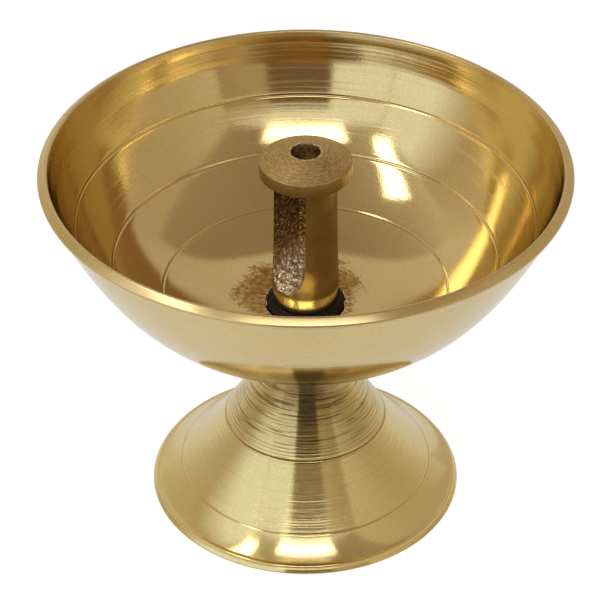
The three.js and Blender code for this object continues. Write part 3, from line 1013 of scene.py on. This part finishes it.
bm = bmesh.new()
bottom = stud_low.z + THREAD_PITCH / 2
root = STUD_RADIUS - THREAD_DEPTH
zigzag = [(root, bottom), (STUD_RADIUS, bottom + THREAD_PITCH * 0.42)]
zigzag += [(STUD_RADIUS, bottom + THREAD_PITCH * 0.58), (root, bottom + THREAD_PITCH)]
verts = [bm.verts.new((r * MM, 0, z * MM)) for r, z in zigzag]
edges = [bm.edges.new(pair) for pair in zip(verts, verts[1:])]
bmesh.ops.spin(
    bm, geom=verts + edges, cent=(0, 0, 0), axis=(0, 0, 1),
    dvec=(0, 0, THREAD_PITCH * MM / THREAD_STEPS),
    angle=2 * math.pi * thread_turns, steps=THREAD_STEPS * thread_turns, use_merge=False,
)
bmesh.ops.remove_doubles(bm, verts=bm.verts, dist=0.02 * MM)
bmesh.ops.recalc_face_normals(bm, faces=bm.faces)
thread = finished("stud_thread", bm)
core_radius = root + 0.02
end_radius = core_radius - STUD_CHAMFER
core_outline = plain([
    (0, stud_low.z), (end_radius, stud_low.z), (core_radius, stud_low.z + STUD_CHAMFER),
    (core_radius, stud_high.z - STUD_CHAMFER), (end_radius, stud_high.z), (0, stud_high.z),
])
core = spun("stud_core", core_outline, closed=False, steps=THREAD_STEPS * 2)


# %% Zinc
ZINC, ZINC_DULL = (0.60, 0.61, 0.62, 1), (0.46, 0.46, 0.45, 1)


def zinc_steel():
    made, tree, shader = new_material("zinc_steel")
    cloud = blotches(tree, 2.5, softness=0.3)
    colour = blended(tree, cloud, ZINC, ZINC_DULL)
    rough = ranged(tree, cloud, 0.0, 1.0, 0.28, 0.45)
    bump = bumped(tree, blotches(tree, 0.6, softness=0.3), 0.01)
    feed(tree, shader, colour, rough, bump)
    metal(shader)
    return made


zinc = zinc_steel()
for piece in (thread, core):
    piece.data.materials.append(zinc)
    told(piece)
for name in ("plain_washer", "spring_washer", "stud_nut"):
    nodes[name].material_slots[0].material = zinc

# %% [markdown]
# ## What moves with what
#
# The lamp stands still. The post screws up out of the bowl: it turns with the seal and rises on its
# own. Each new piece hides the frame's solid that it stands for.

# %% Bodies, slots and replaced nodes
dressed = [
    (bowl, "lamp", "polished_brass", "bowl"),
    (foot, "lamp", "turned_brass", "foot"),
    (thread, "lamp", "zinc_steel", "stud"),
    (core, "lamp", "zinc_steel", "stud"),
    (seal, "seal", "black_rubber", "post_seal"),
    (post, "post", "post_brass", "wick_post"),
]
for piece, body, slot, node in dressed:
    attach(piece, body)
    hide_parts(node)
    print(piece.name, "rides on", body)

# %% [markdown]
# ## The studio
#
# Polished metal shows what stands round it, so the surroundings matter as much as the metal. The
# lamp stood in a small light box: a cube of cloth with two strips of light under its roof, one
# along the front and one, turned a little, along the left, and an opening in front for the camera.
# The box is seen only in reflections, so plain glowing panels are enough for it, and they keep the
# edges that a soft sky wouldn't give. The floor and the world are white to the camera, and the
# floor takes the shadow.

# %% Floor
FLOOR_SIZE, FLOOR_SINK = 6.0, 0.05
FLOOR_TONE, FLOOR_SEEN, FLOOR_REFLECTED = (0.35, 0.35, 0.35, 1), 0.85, 0.60

bm = bmesh.new()
bmesh.ops.create_grid(bm, x_segments=1, y_segments=1, size=FLOOR_SIZE / 2)
bmesh.ops.translate(bm, verts=bm.verts, vec=(0, 0, -FLOOR_SINK * MM))
floor = finished("floor", bm)


def floor_paper():
    made, tree, shader = new_material("floor_paper")
    shader.inputs["Base Color"].default_value = FLOOR_TONE
    shader.inputs["Roughness"].default_value = 0.9
    shader.inputs["Specular IOR Level"].default_value = 0.0
    path = add(tree, "ShaderNodeLightPath").outputs
    direct = maths(tree, "MAXIMUM", path["Is Camera Ray"], path["Is Transmission Ray"])
    glow = maths(tree, "MULTIPLY", direct, FLOOR_SEEN)
    glow = maths(tree, "MULTIPLY_ADD", path["Is Glossy Ray"], FLOOR_REFLECTED, glow)
    shader.inputs["Emission Color"].default_value = (1, 1, 1, 1)
    tree.links.new(glow, shader.inputs["Emission Strength"])
    return made


floor.data.materials.append(floor_paper())
floor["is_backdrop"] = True

# %% World
WORLD_LEVEL = 0.55

world = bpy.data.worlds.new("white_world")
bpy.context.scene.world = world
world.use_nodes = True
tree = world.node_tree
tree.nodes.clear()
path = add(tree, "ShaderNodeLightPath").outputs
seen = maths(tree, "MAXIMUM", path["Is Camera Ray"], path["Is Glossy Ray"])
seen = maths(tree, "MAXIMUM", seen, path["Is Transmission Ray"])
level = maths(tree, "MULTIPLY_ADD", seen, 1.0 - WORLD_LEVEL, WORLD_LEVEL)
background = add(tree, "ShaderNodeBackground", {"Color": (1, 1, 1, 1), "Strength": level})
add(tree, "ShaderNodeOutputWorld", {"Surface": background.outputs[0]})

# %% Light box sizes
BOX_SIDE, BOX_FRONT, BOX_BACK, BOX_ROOF = 150, -155, 150, 205
OPEN_LEFT, OPEN_RIGHT = -38, 56
SILL_LOW, SILL_HIGH, LEFT_SILL = 22, 50, 40
BLACK_TOP, OPEN_LOW, OPEN_TOP, TOP_BAND = 74, 97, 165, 172
LIT_END, LEFT_MIDDLE, RIGHT_MIDDLE = -60, 10, 20
SEAM = 3.5

# %% Light strips
FRONT_STRIP = dict(middle=(1, -130), width=128, depth=48)
LEFT_STRIP = dict(middle=(-106, -42), width=32, depth=146, turn=17.0)
STRIP_LIGHT, STRIP_COLOUR = 4.0, (0.97, 1.0, 1.08)


def light_strip(name, middle, width, depth, turn=0.0):
    """A strip under the roof whose face has the given radiance. It can be turned, in degrees."""
    data = bpy.data.lights.new(name, "AREA")
    data.shape = "RECTANGLE"
    data.size, data.size_y = width * MM, depth * MM
    data.energy = STRIP_LIGHT * math.pi * data.size * data.size_y
    data.color = STRIP_COLOUR
    strip = bpy.data.objects.new(name, data)
    bpy.context.scene.collection.objects.link(strip)
    strip.location = studio(*middle, BOX_ROOF - 1)
    strip.rotation_euler = (0, 0, VIEW_AZIMUTH - math.radians(turn))
    strip.visible_camera = False
    return strip


light_strip("front_strip", **FRONT_STRIP)
light_strip("left_strip", **LEFT_STRIP)


# %% Cloth
def cloth(name, near, far):
    """A plain glow that goes from one tone to another across the panel."""
    made = bpy.data.materials.new(name)
    made.use_nodes = True
    tree = made.node_tree
    tree.nodes.clear()
    colour = blended(tree, attribute(tree, "far"), (*near, 1), (*far, 1))
    glow = add(tree, "ShaderNodeEmission", {"Color": colour, "Strength": 1.0})
    add(tree, "ShaderNodeOutputMaterial", {"Surface": glow.outputs[0]})
    return made


def panel(name, corners, near, far=None):
    """One flat panel. The first and last corners are near, and the two between them are far."""
    bm = bmesh.new()
    share = bm.verts.layers.float.new("far")
    bm.faces.new([bm.verts.new(studio(*corner)) for corner in corners])
    for vert, value in zip(bm.verts, (0.0, 1.0, 1.0, 0.0)):
        vert[share] = value
    made = finished(name, bm)
    made.data.materials.append(cloth(name + "_cloth", near, far or near))
    for kind in ("camera", "diffuse", "shadow", "transmission", "volume_scatter"):
        setattr(made, "visible_" + kind, False)
    made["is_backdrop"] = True
    return made


def wall(name, start, end, low, high, near, far=None):
    """An upright panel between two places on the floor, given as (right, away)."""
    return panel(name, [(*start, low), (*end, low), (*end, high), (*start, high)], near, far)


def roof(name, left, right, near, far):
    """A panel under the roof, between two distances to the right."""
    corners = ((left, BOX_FRONT), (right, BOX_FRONT), (right, BOX_BACK), (left, BOX_BACK))
    return panel(name, [(*corner, BOX_ROOF) for corner in corners], near, far)


# %% [markdown]
# The cloth is brightest next to the strips and falls off away from them, so each wall is one or two
# panels that go from one tone to another. The lower edge of the box and the room outside are dark,
# and two narrow seams stand in the front corners.

# %% Tones of the cloth
LIT, HALF_LIT, PALE = (1.05, 1.14, 1.24), (0.72, 0.66, 0.55), (0.76, 0.71, 0.61)
SOFT, DIM, SHADOW = (0.57, 0.48, 0.35), (0.36, 0.27, 0.22), (0.32, 0.24, 0.17)
BACK_FAR, RIGHT_FAR = (0.60, 0.51, 0.43), (0.58, 0.50, 0.42)
FRONT_FAR, ROOF_FAR = (0.46, 0.36, 0.25), (0.46, 0.36, 0.29)
SILL, BLACK, SEAM_TONE = (0.20, 0.13, 0.08), (0.05, 0.03, 0.022), (0.42, 0.34, 0.22)
ROOM, ROOM_LOW = (0.21, 0.15, 0.10), (0.48, 0.41, 0.31)

# %% Front of the light box
open_left, open_right = (OPEN_LEFT, BOX_FRONT), (OPEN_RIGHT, BOX_FRONT)
left_front, right_front = (-BOX_SIDE, BOX_FRONT), (BOX_SIDE, BOX_FRONT)

wall("front_left", open_left, left_front, SILL_HIGH, BOX_ROOF, LIT)
wall("front_left_sill", open_left, left_front, SILL_LOW, SILL_HIGH, SILL)
wall("front_left_hem", open_left, left_front, 0, SILL_LOW, SHADOW)
wall("opening_low", open_right, open_left, 0, BLACK_TOP, BLACK)
wall("opening_middle", open_right, open_left, BLACK_TOP, OPEN_LOW, ROOM_LOW)
wall("opening", open_right, open_left, OPEN_LOW, OPEN_TOP, ROOM)
wall("opening_top", open_right, open_left, OPEN_TOP, BOX_ROOF, LIT)
wall("front_right", open_right, right_front, SILL_HIGH, BOX_ROOF, SOFT, FRONT_FAR)
wall("front_right_sill", open_right, right_front, 0, SILL_HIGH, BLACK, SILL)
in_front = BOX_FRONT + 1
wall("front_right_top", (OPEN_RIGHT, in_front), (BOX_SIDE, in_front), TOP_BAND, BOX_ROOF, LIT, PALE)
for name, side in (("left_seam", -1), ("right_seam", 1)):
    start, end = (((BOX_SIDE - inset) * side, BOX_FRONT + 2) for inset in (SEAM, 1))
    wall(name, start, end, SILL_HIGH, BOX_ROOF, SEAM_TONE)

# %% Sides, back and roof of the light box
left_lit, left_middle, left_back = ((-BOX_SIDE, away) for away in (LIT_END, LEFT_MIDDLE, BOX_BACK))
right_middle, right_back = (BOX_SIDE, RIGHT_MIDDLE), (BOX_SIDE, BOX_BACK)

wall("left_a", left_front, left_lit, LEFT_SILL, BOX_ROOF, LIT)
wall("left_b", left_lit, left_middle, LEFT_SILL, BOX_ROOF, LIT, SOFT)
wall("left_c", left_middle, left_back, LEFT_SILL, BOX_ROOF, SOFT, HALF_LIT)
wall("left_low", left_front, left_back, 0, LEFT_SILL, SHADOW, PALE)
wall("back", left_back, right_back, 0, BOX_ROOF, PALE, BACK_FAR)
wall("right_a", right_front, right_middle, SILL_HIGH, BOX_ROOF, HALF_LIT, SOFT)
wall("right_b", right_middle, right_back, SILL_HIGH, BOX_ROOF, SOFT, RIGHT_FAR)
wall("right_low_front", right_front, right_middle, 0, SILL_HIGH, SILL, SOFT)
wall("right_low_back", right_middle, right_back, 0, SILL_HIGH, SOFT, HALF_LIT)
roof("roof_left", -BOX_SIDE, 0, HALF_LIT, DIM)
roof("roof_right", 0, BOX_SIDE, DIM, ROOF_FAR)

# %% [markdown]
# ## Measure and finish
#
# The box of the dressed lamp, over every piece but the backdrop, is printed in millimetres.

# %% Sizes
dressed_box = [list(corner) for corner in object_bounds()]
in_mm = [[round(v * 1000, 2) for v in corner] for corner in dressed_box]
print("box of the dressed lamp in mm:", in_mm)
